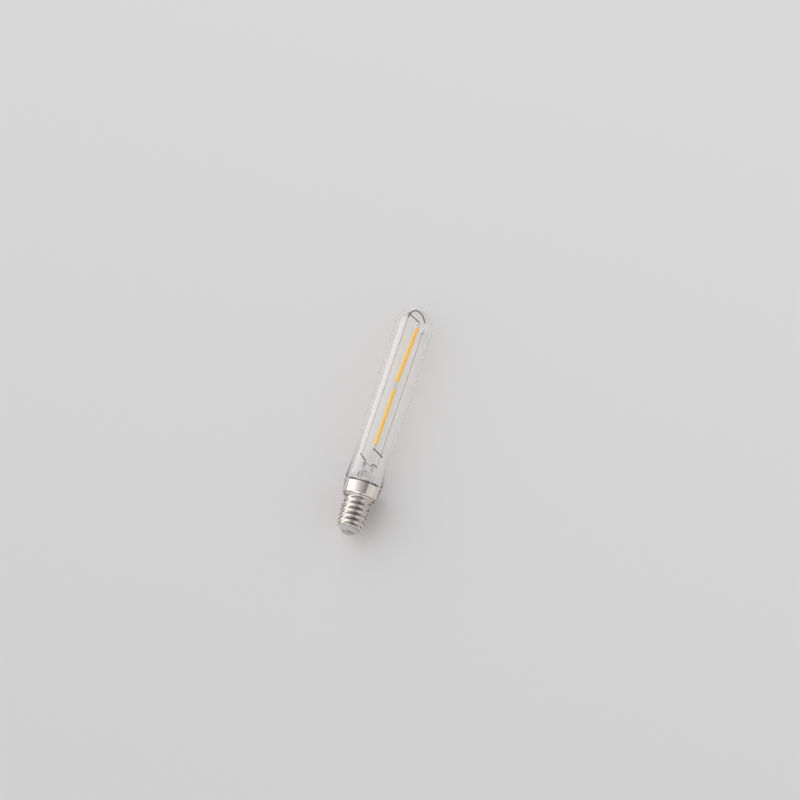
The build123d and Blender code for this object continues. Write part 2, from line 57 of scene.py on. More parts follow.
# Sizes that the frame gives
envelope_low, envelope_high = node_box("glass_envelope")
shell_low, shell_high = node_box("base_shell")
board_low, board_high = node_box("driver_board")
contact_high = node_box("centre_contact")[1]
insulator_high = node_box("base_insulator")[1]
stem_high = node_box("glass_stem")[1]
glass_radius = envelope_high.x
glass_top = envelope_high.y
neck_foot = envelope_low.y
neck_radius = stem_high.x
press_head = stem_high.y
shell_foot = shell_low.y
rim_height = shell_high.y
rim_radius = shell_high.x
contact_radius = contact_high.x
insulator_radius = insulator_high.x
insulator_head = insulator_high.y

# Glass envelope
GLASS_WALL = 0.8
SHOULDER_DEPTH = 1.6
SHOULDER_HEIGHT = 4.2

# Screw cap
SHEET = 0.28
THREAD_MAJOR = 13.89
THREAD_DEPTH = 0.8
THREAD_PITCH = 2.822
THREAD_CREST_AT = 4.7
THREAD_ROW = 0.13
END_EDGE = 0.1
END_ROLL = 1.2
END_INSET = 0.1
LIP_WIDTH = 0.265
LIP_BEND = 0.1
LIP_EDGE = 0.12
CAP_SHOULDER_HEIGHT = 1.7
CAP_STEP = 0.1
SLEEVE_END_WIDTH = 0.12
SLEEVE_END_HEIGHT = 0.25
SLEEVE_END_BEND = 0.3
THREAD_FADE = 1.0
COLLAR_HEIGHT = 6.8
COLLAR_TAPER = -0.44
COLLAR_BEND = 0.3
LAND_HEIGHT = 0.4
LAND_WIDTH = 0.1
LAND_BEND = 0.2
LAND_RADIUS_SHARE = 0.6
LAND_HEIGHT_SHARE = 0.5
FLARE_HEIGHT = 1.1
FLARE_WIDTH = 0.36
FLARE_POWER = 1.3

# Contact and insulator
CONTACT_THICKNESS = 0.7
CONTACT_EDGE = 0.28
CONTACT_EDGE_WIDTH = 0.1
CONTACT_EDGE_BEND = 0.2
CONTACT_SIDE_BEND = 0.1
CONTACT_BACK_BEND = 0.05
CONTACT_CROWN = 0.12
CROWN_WIDTH = 0.9
CROWN_BEND = 2.0
DIMPLE_RADIUS = 0.55
DIMPLE_DEPTH = 0.9
DIMPLE_ROWS = 8
DIMPLE_LIP_WIDTH = 0.05
DIMPLE_LIP_DEPTH = 0.02
DIMPLE_LAND_WIDTH = 0.3
DIMPLE_LAND_BEND = 0.1
SHANK_RADIUS = 1.0
SHANK_BEND = 0.2
NOSE_MARGIN = 0.3
NOSE_FACE_WIDTH = 0.1
NOSE_EDGE = 0.08
NOSE_CORNER = 0.68
NOSE_BULGE = 0.42
NOSE_ROUND = 0.9
FLANK_GAP = 0.05
FLANK_BEND = 0.15
FLANGE_EDGE = 0.08
FLANGE_ROUND = 0.3
INSULATOR_FIT = 0.05
LIP_HEIGHT = 0.9
BOARD_FIT = 0.05
SLOT_OVERRUN = 1.0

# Stem
STEM_RADIUS = 4.5
STEM_FLARE_HEIGHT = 3.6
STEM_FLARE_BEND = 1.4
STEM_RIM_BEND = 0.3
STEM_BORE_BEND = 0.9
STEM_TUBE_LENGTH = 8.1
PINCH_HEIGHT = 3.5
PRESS_WIDTH = 8.0
PRESS_THICKNESS = 2.8
PRESS_OFFSET = -0.4
PRESS_EDGE = 0.55
PRESS_SQUARENESS = 5.0
EXHAUST_RADIUS = 1.6
EXHAUST_BORE_RADIUS = 0.9
EXHAUST_TAIL = 1.0
EXHAUST_TIP_WALL = 1.0
EXHAUST_TIP_BEND = 1.2
EXHAUST_BORE_BEND = 0.8
EXHAUST_SEGMENTS = 48
EXHAUST_PORT_RADIUS = 0.6
EXHAUST_PORT_SIDES = 32
EXHAUST_PORT_REACH = 1.2 * STEM_RADIUS

# Wire mount: reaches are across it, heights above the press
MOUNT_TURN = radians(52.0)
MOUNT_LEAN = radians(0.9)
WIRE_SIDES = 14
WIRE_BEVEL_SHARE = 0.25
SUPPORT_WIRE_DIAMETER = 0.5
BAR_DIAMETER = 0.7
BOW_DIAMETER = 0.8
BOW_TOP_GAP = 0.45
BOW_END_TURN = radians(30.0)
BOW_STEPS = 48
LEAD_DIAMETER = 0.7
LEAD_SPACING = 5.4
LEAD_JOINT_DEPTH = 2.2
LEAD_BEND = 0.8
LEFT_WIRE_GAP = 1.8
LEFT_WIRE_FOOT = 1.9
LEFT_LEAD_RISE = 1.2
LEFT_WELD_HEIGHT = 2.7
RIGHT_WIRE_FOOT_GAP = 2.8
RIGHT_WIRE_HEAD_GAP = 0.78
RIGHT_WIRE_FOOT = 0.6
RIGHT_LEAD_RISE = 2.0
WELD_TAIL = 0.6
BEAD_DIAMETER = 1.85
BEAD_FOOT_DIAMETER = 0.9
BEAD_HEAD_DIAMETER = 1.1
BEAD_SWELL = 1.4
BEAD_FOOT_BEND = 0.25
BEAD_SWELL_BEND = 1.2
BEAD_SIDE_BEND = 2.0
BEAD_HEAD_BEND = 0.4
BEAD_GAP = 3.4
BEAD_FOOT_GRIP = 2.8
BEAD_HEAD_GRIP = 0.25
LOWER_BAR_HEIGHT = 8.6
UPPER_BAR_RISE = 2.15
LOWER_BAR_FALL = 1.0
UPPER_BAR_FALL = 0.7
BAR_TAIL = 1.1

# Filaments
FILAMENT_WIDTH = 1.9
FILAMENT_THICKNESS = 1.4
FILAMENT_ROUND = 0.6
FILAMENT_END_EDGE = 0.35
FILAMENT_ROWS = 60
FILAMENT_WAVER = 0.06
WAVER_STRETCH = 0.9
FILAMENT_GAP = 4.6
FILAMENT_JOINT_SHIFT = -0.6
FILAMENT_FOOT_REACH = -0.2
FILAMENT_JOINT_REACH = 0.2
FILAMENT_HEAD_REACH = 2.15
LOWER_TAB_LENGTH = 3.0
UPPER_TAB_LENGTH = 3.3
TAB_WIDTH = 1.0
TAB_THICKNESS = 0.25
TAB_ROUND = 0.1
TAB_END_EDGE = 0.08
TAB_ROWS = 8
TAB_OVERLAP = 2.2
BAR_END_ROWS = 4
BAR_END_SIZE = 0.55

# Sizes that follow
glass_bore_radius = glass_radius - GLASS_WALL
neck_bore_radius = neck_radius - GLASS_WALL
shoulder_foot = rim_height - SHOULDER_DEPTH
dome_centre = glass_top - glass_radius
crest_radius = THREAD_MAJOR / 2
root_radius = crest_radius - THREAD_DEPTH
lip_radius = root_radius - SHEET - LIP_WIDTH
lip_head = shell_foot + LIP_HEIGHT
collar_foot = rim_height - COLLAR_HEIGHT
cone_foot = collar_foot - CAP_SHOULDER_HEIGHT
waist_height = rim_height - FLARE_HEIGHT
waist_radius = rim_radius - FLARE_WIDTH
collar_radius = waist_radius + COLLAR_TAPER
tube_head = neck_foot + STEM_TUBE_LENGTH
press_foot = tube_head + PINCH_HEIGHT
left_reach = glass_bore_radius - LEFT_WIRE_GAP
right_foot_reach = glass_bore_radius - RIGHT_WIRE_FOOT_GAP
lean_shift = (dome_centre - press_head) * tan(MOUNT_LEAN)
right_head_reach = glass_bore_radius - RIGHT_WIRE_HEAD_GAP - lean_shift
bow_radius = (left_reach + right_head_reach) / 2
bow_middle = (right_head_reach - left_reach) / 2
bow_head = glass_top - GLASS_WALL - BOW_TOP_GAP - BOW_DIAMETER / 2
bow_foot = bow_head - bow_radius - press_head
bow_end_height = bow_foot + bow_radius * sin(BOW_END_TURN)
right_wire_head = bow_end_height - BEAD_GAP
upper_bar_height = bow_foot + UPPER_BAR_RISE
lower_filament_foot = LOWER_BAR_HEIGHT + LOWER_TAB_LENGTH
upper_filament_head = upper_bar_height - UPPER_TAB_LENGTH
joint_height = (lower_filament_foot + upper_filament_head) / 2 + FILAMENT_JOINT_SHIFT
lower_filament_head = joint_height - FILAMENT_GAP / 2
upper_filament_foot = joint_height + FILAMENT_GAP / 2
lower_bar_offset = (TAB_THICKNESS + BAR_DIAMETER) / 2 + TAB_THICKNESS / 2
upper_bar_offset = -lower_bar_offset
right_wire_offset = lower_bar_offset - (BAR_DIAMETER + SUPPORT_WIRE_DIAMETER) / 2
left_wire_offset = upper_bar_offset + (BAR_DIAMETER + BOW_DIAMETER) / 2
left_lead_offset = left_wire_offset - (LEAD_DIAMETER + SUPPORT_WIRE_DIAMETER) / 2
right_lead_offset = right_wire_offset - (LEAD_DIAMETER + SUPPORT_WIRE_DIAMETER) / 2

# Directions along the bulb, across the wire mount and out of it, and the mount's own leaning axes
along = Vector((0, 1, 0))
across = Vector((cos(MOUNT_TURN), 0, -sin(MOUNT_TURN)))
facing = Vector((sin(MOUNT_TURN), 0, cos(MOUNT_TURN)))
mount_origin = across * PRESS_OFFSET + along * press_head
mount_across = across * cos(MOUNT_LEAN) - along * sin(MOUNT_LEAN)
mount_up = along * cos(MOUNT_LEAN) + across * sin(MOUNT_LEAN)


def on_mount(reach, height, offset):
    """A point on the wire mount."""
    return mount_origin + mount_across * reach + mount_up * height + facing * offset


def turns(count):
    """Angles once round a circle."""
    return [2 * pi * step / count for step in range(count)]


def smooth(share):
    """A share from 0 to 1 that starts and ends gently."""
    share = min(max(share, 0), 1)
    return share * share * (3 - 2 * share)


def blend(first, last, share):
    """The value at a share of the way from one value to another."""
    return first + (last - first) * share


def ring(radius, height, segments=SEGMENTS):
    """A ring of points round the bulb's axis, or one point on it."""
    if radius <= 0:
        return [Vector((0, height, 0))]
    return [Vector((radius * cos(turn), height, radius * sin(turn))) for turn in turns(segments)]


def skin(rings, closed=False, hollow=False):
    """The surface through rings of points, as points and faces. A ring of one point is a pole."""
    starts = []
    points = []
    for points_of_ring in rings:
        starts.append(len(points))
        points.extend(points_of_ring)
    order = list(range(len(rings)))
    pairs = list(zip(order, order[1:]))
    if closed:
        pairs.append((order[-1], 0))
    faces = []
    for low, high in pairs:
        count = max(len(rings[low]), len(rings[high]))
        for side in range(count):
            after = (side + 1) % count
            face = []
            for start, size, corners in (
                (starts[low], len(rings[low]), (after, side)),
                (starts[high], len(rings[high]), (side, after)),
            ):
                face.extend([start] if size == 1 else [start + corner for corner in corners])
            faces.append(face)
    volume = 0
    for face in faces:
        for second, third in zip(face[1:], face[2:]):
            volume += points[face[0]].dot(points[second].cross(points[third]))
    if (volume < 0) != hollow:
        faces = [face[::-1] for face in faces]
    return points, faces


def rounded(corners, radii, steps=ARC_STEPS):
    """A line through corners, with each inner corner rounded to its radius."""
    path = [corners[0]]
    for before, corner, after, radius in zip(corners, corners[1:], corners[2:], radii):
        if radius == 0:
            path.append(corner)
            continue
        back = (before - corner).normalized()
        ahead = (after - corner).normalized()
        half = back.angle(ahead) / 2
        centre = corner + (back + ahead).normalized() * (radius / sin(half))
        first = corner + back * (radius / tan(half)) - centre
        last = corner + ahead * (radius / tan(half)) - centre
        sweep = pi - 2 * half
        for step in range(steps + 1):
            share = step / steps
            spoke = first * sin((1 - share) * sweep) + last * sin(share * sweep)
            path.append(centre + spoke / sin(sweep))
    path.append(corners[-1])
    return path


def profile(*corners):
    """A lathe profile from (radius, height, corner radius) triples."""
    points = [Vector(corner[:2]) for corner in corners]
    return [tuple(point) for point in rounded(points, [corner[2] for corner in corners[1:-1]])]


def lathe(outline, closed=False, hollow=False, segments=SEGMENTS):
    """A surface turned about the bulb's axis from (radius, height) pairs."""
    return skin([ring(radius, height, segments) for radius, height in outline], closed, hollow)


def tube(path, diameter, sides=WIRE_SIDES):
    """A round wire along a path, with its cut ends slightly bevelled."""
    radius = diameter / 2
    bevel = radius * WIRE_BEVEL_SHARE
    start_way = (path[1] - path[0]).normalized()
    end_way = (path[-1] - path[-2]).normalized()
    line = [path[0] + start_way * bevel] + path[1:-1] + [path[-1] - end_way * bevel]
    side = start_way.orthogonal().normalized()
    rings = []
    for index, point in enumerate(line):
        way = (line[min(index + 1, len(line) - 1)] - line[max(index - 1, 0)]).normalized()
        side = (side - way * side.dot(way)).normalized()
        other = way.cross(side)
        rings.append([point + (side * cos(turn) + other * sin(turn)) * radius for turn in turns(sides)])
    inset = 1 - bevel / radius
    foot = [path[0] + (point - line[0]) * inset for point in rings[0]]
    head = [path[-1] + (point - line[-1]) * inset for point in rings[-1]]
    return skin([[path[0]], foot, *rings, head, [path[-1]]])


def drop(outline, foot, way, sides=48):
    """A surface turned from (radius, height) pairs about a direction from its foot."""
    side = way.orthogonal().normalized()
    other = way.cross(side)
    rings = []
    for radius, height in outline:
        middle = foot + way * height
        spokes = [side * cos(turn) + other * sin(turn) for turn in turns(sides)]
        rings.append([middle + spoke * radius for spoke in spokes] if radius > 0 else [middle])
    return skin(rings)


def bar_section(width, thickness, radius, steps=5):
    """Outline of a bar's rounded section, as pairs across and through the bar."""
    section = []
    for quarter, (right, up) in enumerate(((1, 1), (-1, 1), (-1, -1), (1, -1))):
        for step in range(steps + 1):
            turn = pi / 2 * (quarter + step / steps)
            section.append((
                right * (width / 2 - radius) + radius * cos(turn),
                up * (thickness / 2 - radius) + radius * sin(turn),
            ))
    return section


def bar(foot, head, section, end_edge, rows, waver=0.0):
    """A straight bar between two points on the mount, with softened ends and a slightly uneven surface."""
    way = (head - foot).normalized()
    side = way.cross(facing)
    length = (head - foot).length
    end_turns = [pi / 2 * row / BAR_END_ROWS for row in range(BAR_END_ROWS + 1)]
    start = [(end_edge * (1 - cos(turn)), blend(BAR_END_SIZE, 1, sin(turn))) for turn in end_turns]
    middle = [(blend(end_edge, length - end_edge, row / rows), 1) for row in range(1, rows)]
    end = [(length - place, size) for place, size in start[::-1]]
    rings = []
    for place, size in start + middle + end:
        points = []
        for reach, depth in section:
            swell = size * (1 + waver * noise.noise(Vector((reach, place * WAVER_STRETCH, depth))))
            points.append(foot + way * place + (side * reach + facing * depth) * swell)
        rings.append(points)
    return skin([[foot], *rings, [head]])


def box_shell(low, high):
    """A closed box between two corners."""
    rings = []
    for height in (low.y, high.y):
        rings.append([
            Vector((x, height, z))
            for x, z in ((low.x, low.z), (high.x, low.z), (high.x, high.z), (low.x, high.z))
        ])
    middle = (low + high) / 2
    return skin([[Vector((middle.x, low.y, middle.z))], *rings, [Vector((middle.x, high.y, middle.z))]])


def make_mesh(name, shells):
    """A smooth-shaded mesh in metres from one or more closed shells."""
    points = []
    faces = []
    for shell_points, shell_faces in shells:
        start = len(points)
        points.extend(point * MM for point in shell_points)
        faces.extend([start + corner for corner in face] for face in shell_faces)
    mesh = bpy.data.meshes.new(name)
    mesh.from_pydata(points, [], faces)
    mesh.shade_smooth()
    mesh.set_sharp_from_angle(angle=SHARP_ANGLE)
    return mesh


def add_object(name, shells):
    """An object made of closed shells."""
    piece = bpy.data.objects.new(name, make_mesh(name, shells))
    bpy.context.collection.objects.link(piece)
    return piece


def cut(piece, shell):
    """Takes a closed shell out of a piece."""
    cutter = add_object("cutter", [shell])
    boolean = piece.modifiers.new("cut", "BOOLEAN")
    boolean.operation = "DIFFERENCE"
    boolean.solver = "EXACT"
    boolean.object = cutter
    graph = bpy.context.evaluated_depsgraph_get()
    mesh = bpy.data.meshes.new_from_object(piece.evaluated_get(graph))
    piece.modifiers.clear()
    piece.data = mesh
    mesh.set_sharp_from_angle(angle=SHARP_ANGLE)
    bpy.data.objects.remove(cutter)


def finish_piece(piece, material, slot, *nodes):
    """Dresses a piece, fixes it to the bulb and lets it stand for its CAD nodes."""
    piece.data.materials.clear()
    piece.data.materials.append(material)
    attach(piece, "root")
    if nodes:
        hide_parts(*nodes)
    return piece


# Materials: grains are in waves a millimetre
NOISE_RANGE = (0.3, 0.7)
BROAD_GRAIN = 0.25
BROAD_DETAIL = 2.0
GLASS_IOR = 1.5
RIPPLE_GRAIN = 0.12
RIPPLE_DETAIL = 1.0
RIPPLE_DEPTH = 0.2
EDGE_BLEND = 0.35
DRAWN = (1, 0.1, 1)
ROLLED = (1, 0.15, 1)


def grey(level):
    """An even grey."""
    return (level, level, level)


def add_node(tree, kind, **settings):
    """A new node with its settings."""
    node = tree.nodes.new(kind)
    for name, value in settings.items():
        setattr(node, name, value)
    return node


def new_material(name):
    """An empty node material with its shader."""
    material = bpy.data.materials.new(name)
    material.use_nodes = True
    shader = material.node_tree.nodes["Principled BSDF"]
    return material, material.node_tree, shader


def noise_texture(tree, grain, detail=4.0, stretch=(1, 1, 1)):
    """Noise of a grain in the part's frame."""
    coordinates = tree.nodes.new("ShaderNodeTexCoord")
    mapping = tree.nodes.new("ShaderNodeMapping")
    mapping.inputs["Scale"].default_value = stretch
    texture = tree.nodes.new("ShaderNodeTexNoise")
    texture.inputs["Scale"].default_value = grain / MM
    texture.inputs["Detail"].default_value = detail
    tree.links.new(coordinates.outputs["Object"], mapping.inputs["Vector"])
    tree.links.new(mapping.outputs["Vector"], texture.inputs["Vector"])
    return texture.outputs["Fac"]


def map_range(tree, value, start, end, low=0.0, high=1.0):
    """Maps a value from one range onto another."""
    node = tree.nodes.new("ShaderNodeMapRange")
    node.inputs["From Min"].default_value = start
    node.inputs["From Max"].default_value = end
    node.inputs["To Min"].default_value = low
    node.inputs["To Max"].default_value = high
    tree.links.new(value, node.inputs["Value"])
    return node.outputs["Result"]


def ramp_through(tree, *stops):
    """A colour ramp through stops of (position, colour)."""
    ramp = tree.nodes.new("ShaderNodeValToRGB")
    elements = ramp.color_ramp.elements
    while len(elements) < len(stops):
        elements.new(1.0)
    for element, (position, colour) in zip(elements, stops):
        element.position = position
        element.color = (*colour, 1)
    return ramp


def colour_between(tree, factor, low, high):
    """Maps noise onto colours between two."""
    ramp = ramp_through(tree, *zip(NOISE_RANGE, (low, high)))
    tree.links.new(factor, ramp.inputs["Fac"])
    return ramp.outputs["Color"]


def add_bump(tree, shader, factor, strength, depth):
    """Bump from noise, with its depth in millimetres."""
    bump = tree.nodes.new("ShaderNodeBump")
    bump.inputs["Strength"].default_value = strength
    bump.inputs["Distance"].default_value = depth * MM
    tree.links.new(factor, bump.inputs["Height"])
    tree.links.new(bump.outputs["Normal"], shader.inputs["Normal"])


def surface(
    name, low, high, grain, roughness, bump_depth, metallic=0.0, stretch=(1, 1, 1), bump_strength=0.3
):
    """An opaque material whose colour, gloss and relief vary."""
    material, tree, shader = new_material(name)
    fine = noise_texture(tree, grain, stretch=stretch)
    broad = noise_texture(tree, BROAD_GRAIN, detail=BROAD_DETAIL)
    tree.links.new(colour_between(tree, broad, low, high), shader.inputs["Base Color"])
    tree.links.new(map_range(tree, fine, *NOISE_RANGE, *roughness), shader.inputs["Roughness"])
    add_bump(tree, shader, fine, bump_strength, bump_depth)
    shader.inputs["Metallic"].default_value = metallic
    return material


def glass(name, shade_middle, shade_edge, ripple, transmission=1.0, roughness=0.0):
    """Clear glass with a slight ripple.

    Light that falls on what it holds passes straight through, shaded less at the middle than at the edges.
    """
    material, tree, shader = new_material(name)
    shader.inputs["Base Color"].default_value = (*grey(1.0), 1)
    shader.inputs["Transmission Weight"].default_value = transmission
    shader.inputs["IOR"].default_value = GLASS_IOR
    shader.inputs["Roughness"].default_value = roughness
    waves = noise_texture(tree, RIPPLE_GRAIN, detail=RIPPLE_DETAIL)
    add_bump(tree, shader, waves, ripple, RIPPLE_DEPTH)
    facing_share = tree.nodes.new("ShaderNodeLayerWeight")
    facing_share.inputs["Blend"].default_value = EDGE_BLEND
    shade = ramp_through(tree, (0.0, grey(shade_middle)), (1.0, grey(shade_edge)))
    clear = tree.nodes.new("ShaderNodeBsdfTransparent")
    path = tree.nodes.new("ShaderNodeLightPath")
    soft_light = add_node(tree, "ShaderNodeMath", operation="MAXIMUM")
    mix = tree.nodes.new("ShaderNodeMixShader")
    output = tree.nodes["Material Output"]
    tree.links.new(facing_share.outputs["Facing"], shade.inputs["Fac"])
    tree.links.new(shade.outputs["Color"], clear.inputs["Color"])
    tree.links.new(path.outputs["Is Shadow Ray"], soft_light.inputs[0])
    tree.links.new(path.outputs["Is Diffuse Ray"], soft_light.inputs[1])
    tree.links.new(soft_light.outputs["Value"], mix.inputs["Fac"])
    tree.links.new(shader.outputs["BSDF"], mix.inputs[1])
    tree.links.new(clear.outputs["BSDF"], mix.inputs[2])
    tree.links.new(mix.outputs["Shader"], output.inputs["Surface"])
    return material


def phosphor():
    """Amber phosphor in silicone: a soft, grainy coat, with a painted glow that makes it brighter than the
    light it gets.
    """
    material = surface(
        "amber_phosphor", (0.90, 0.50, 0.05), (0.97, 0.57, 0.075),
        6.0, (0.38, 0.55), 0.05, bump_strength=0.4,
    )
    shader = material.node_tree.nodes["Principled BSDF"]
    shader.inputs["Subsurface Weight"].default_value = 0.2
    shader.inputs["Subsurface Radius"].default_value = (1.0, 0.45, 0.1)
    shader.inputs["Subsurface Scale"].default_value = 0.3 * MM
    # Painted glow: a faint amber emission that brightens the coat
    shader.inputs["Emission Color"].default_value = (1.0, 0.54, 0.06, 1)
    shader.inputs["Emission Strength"].default_value = 0.2
    return material


clear_glass = glass("blown_glass", 1.0, 0.93, 0.01)
stem_glass = glass("worked_glass", 0.98, 0.9, 0.2, transmission=0.85, roughness=0.1)
nickel = surface(
    "nickel_plate", (0.82, 0.755, 0.70), (0.86, 0.795, 0.74), 1.6, (0.08, 0.13), 0.02, 1.0, ROLLED, 0.08
)
contact_metal = surface(
    "contact_metal", (0.50, 0.465, 0.43), (0.62, 0.585, 0.55), 5.0, (0.24, 0.36), 0.03, 1.0
)
lead_metal = surface(
    "lead_metal", (0.24, 0.215, 0.19), (0.33, 0.30, 0.27), 4.0, (0.32, 0.5), 0.03, 1.0, DRAWN
)
wire_metal = surface(
    "wire_metal", (0.48, 0.45, 0.42), (0.58, 0.55, 0.52), 4.0, (0.25, 0.42), 0.02, 1.0, DRAWN
)
tab_metal = surface("tab_metal", (0.68, 0.66, 0.63), (0.80, 0.78, 0.75), 5.0, (0.22, 0.36), 0.02, 1.0)
tinned_wire = surface("tinned_wire", (0.50, 0.44, 0.40), (0.60, 0.54, 0.50), 4.0, (0.3, 0.45), 0.02, 1.0)
insulator_plastic = surface(
    "pale_moulding", (0.54, 0.515, 0.50), (0.59, 0.565, 0.55), 2.5, (0.3, 0.42), 0.03
)
cement = surface(
    "cement", (0.74, 0.72, 0.68), (0.82, 0.80, 0.76), 4.0, (0.8, 0.95), 0.12, bump_strength=0.7
)
solder_mask = surface("solder_mask", (0.012, 0.09, 0.032), (0.02, 0.13, 0.05), 3.0, (0.3, 0.45), 0.03)
sleeve = surface("capacitor_sleeve", (0.012, 0.012, 0.018), (0.02, 0.02, 0.028), 3.0, (0.25, 0.4), 0.02)
moulding = surface(
    "package_moulding", (0.008, 0.008, 0.009), (0.014, 0.014, 0.016), 6.0, (0.55, 0.75), 0.03
)
fired_coat = surface("fired_coat", (0.13, 0.22, 0.15), (0.18, 0.28, 0.2), 5.0, (0.4, 0.55), 0.03)
amber = phosphor()


# Glass envelope: neck, soft shoulder, tube and dome, with an even wall
def envelope_outline(inset):
    """The glass's outer outline, or the inner one when inset by the wall."""
    shoulder_rows = 18
    dome_rows = 30
    outline = [(neck_radius - inset, neck_foot)]
    for row in range(shoulder_rows + 1):
        share = row / shoulder_rows
        radius = blend(neck_radius, glass_radius, (1 - cos(pi * share)) / 2)
        outline.append((radius - inset, shoulder_foot + SHOULDER_HEIGHT * share))
    for row in range(dome_rows):
        turn = pi / 2 * row / dome_rows
        radius = glass_radius - inset
        outline.append((radius * cos(turn), dome_centre + radius * sin(turn)))
    outline.append((0, glass_top - inset))
    return outline


outside = lathe(envelope_outline(0)[::-1] + envelope_outline(GLASS_WALL), segments=GLASS_SEGMENTS)
finish_piece(add_object("envelope", [outside]), clear_glass, "clear_glass", "glass_envelope")


# Cap: rounded thread rolled into the sheet, shoulder, collar and flared rim
thread_round = (THREAD_PITCH ** 2 / 4 + THREAD_DEPTH ** 2) / (4 * THREAD_DEPTH)


def thread_radius(turn, height):
    """The rounded thread: arcs of one radius that meet midway, right-handed about the bulb's axis."""
    crest = THREAD_CREST_AT + THREAD_PITCH * (pi - turn) / (2 * pi)
    shift = (height - crest) / THREAD_PITCH
    shift = abs(shift - round(shift)) * THREAD_PITCH
    if shift < THREAD_PITCH / 4:
        return crest_radius - thread_round + sqrt(thread_round ** 2 - shift ** 2)
    return root_radius + thread_round - sqrt(thread_round ** 2 - (THREAD_PITCH / 2 - shift) ** 2)


def sleeve_radius(turn, height):
    """The threaded sleeve, rolled in at its foot and run out into the cap's shoulder."""
    share = smooth((height - cone_foot + THREAD_FADE) / THREAD_FADE)
    radius = blend(thread_radius(turn, height), crest_radius + CAP_STEP, share)
    rise = min((height - shell_foot) / END_ROLL, 1)
    rolled = root_radius - END_EDGE + END_ROLL * sqrt(1 - (1 - rise) ** 2)
    return min(radius, rolled)


def sleeve_ring(height, inset):
    """A ring round the threaded sleeve."""
    radii = [(turn, sleeve_radius(turn, height) - inset) for turn in turns(SEGMENTS)]
    return [Vector((radius * cos(turn), height, radius * sin(turn))) for turn, radius in radii]


def collar_outline(inset):
    """Shoulder, collar and flare above the sleeve, with bent corners."""
    flare_rows = 14
    sleeve_end = crest_radius + CAP_STEP
    land_radius = blend(sleeve_end, collar_radius, LAND_RADIUS_SHARE)
    land_height = blend(cone_foot, collar_foot, LAND_HEIGHT_SHARE)
    return profile(
        (sleeve_end - inset, cone_foot, 0),
        (sleeve_end - inset + SLEEVE_END_WIDTH, cone_foot + SLEEVE_END_HEIGHT, SLEEVE_END_BEND),
        (land_radius - inset, land_height, LAND_BEND),
        (land_radius - inset + LAND_WIDTH, land_height + LAND_HEIGHT, LAND_BEND),
        (collar_radius - inset, collar_foot, COLLAR_BEND),
        (waist_radius - inset, waist_height, 0),
    ) + [
        (waist_radius - inset + FLARE_WIDTH * (row / flare_rows) ** FLARE_POWER,
         blend(waist_height, rim_height - SHEET / 2, row / flare_rows))
        for row in range(1, flare_rows + 1)
    ]


def cap_sheet():
    """The cap's closed sheet: outside from foot to rim, back down the inside and out under the lip."""
    rolled_rows = 8
    heights = [shell_foot + END_ROLL * (1 - cos(pi / 2 * row / rolled_rows)) for row in range(rolled_rows)]
    rows = ceil((cone_foot - heights[-1]) / THREAD_ROW)
    heights += [blend(heights[-1], cone_foot, row / rows) for row in range(1, rows)]
    rings = [sleeve_ring(height, 0) for height in heights]
    rings += [ring(radius, height) for radius, height in collar_outline(0)]
    rings += [ring(rim_radius - SHEET / 2, rim_height)]
    rings += [ring(radius, height) for radius, height in collar_outline(SHEET)[::-1]]
    inner_heights = [height for height in heights[::-2] if height > lip_head + SHEET]
    rings += [sleeve_ring(height, SHEET) for height in inner_heights]
    rings += [
        ring(radius, height)
        for radius, height in profile(
            (root_radius - SHEET, lip_head + SHEET / 2, 0),
            (root_radius - SHEET, lip_head, LIP_BEND),
            (lip_radius, lip_head, LIP_BEND),
            (lip_radius, shell_foot, LIP_EDGE),
            (root_radius - END_EDGE - END_INSET, shell_foot, 0),
        )
    ]
    return skin(rings, closed=True)


finish_piece(add_object("cap_shell", [cap_sheet()]), nickel, "nickel_plate", "base_shell")


# Insulator: a swelling nose, and a flange held behind the cap's lip
nose_radius = contact_radius + NOSE_MARGIN
flank_radius = lip_radius - INSULATOR_FIT
nose_chord = Vector((flank_radius - nose_radius, shell_foot - CONTACT_THICKNESS))
nose_out = Vector((nose_chord.y, -nose_chord.x)).normalized()
nose_foot = Vector((nose_radius, CONTACT_THICKNESS))
nose_corner = nose_foot + nose_chord * NOSE_CORNER + nose_out * NOSE_BULGE
insulator_outline = [
    (SHANK_RADIUS, CONTACT_THICKNESS),
    *profile(
        (nose_radius - NOSE_FACE_WIDTH, CONTACT_THICKNESS, 0),
        (nose_radius, CONTACT_THICKNESS, NOSE_EDGE),
        (*nose_corner, NOSE_ROUND),
        (flank_radius, shell_foot - FLANK_GAP, FLANK_BEND),
        (flank_radius, lip_head, 0),
        (insulator_radius, lip_head, FLANGE_EDGE),
        (insulator_radius, insulator_head, FLANGE_ROUND),
        (SHANK_RADIUS, insulator_head, 0),
    ),
]
insulator = add_object("insulator", [lathe(insulator_outline, closed=True)])
slot_low = board_low - Vector((crest_radius, 0, BOARD_FIT))
slot_high = Vector((board_high.x + crest_radius, insulator_head + SLOT_OVERRUN, board_high.z + BOARD_FIT))
cut(insulator, box_shell(slot_low, slot_high))
finish_piece(insulator, insulator_plastic, "insulator", "base_insulator")


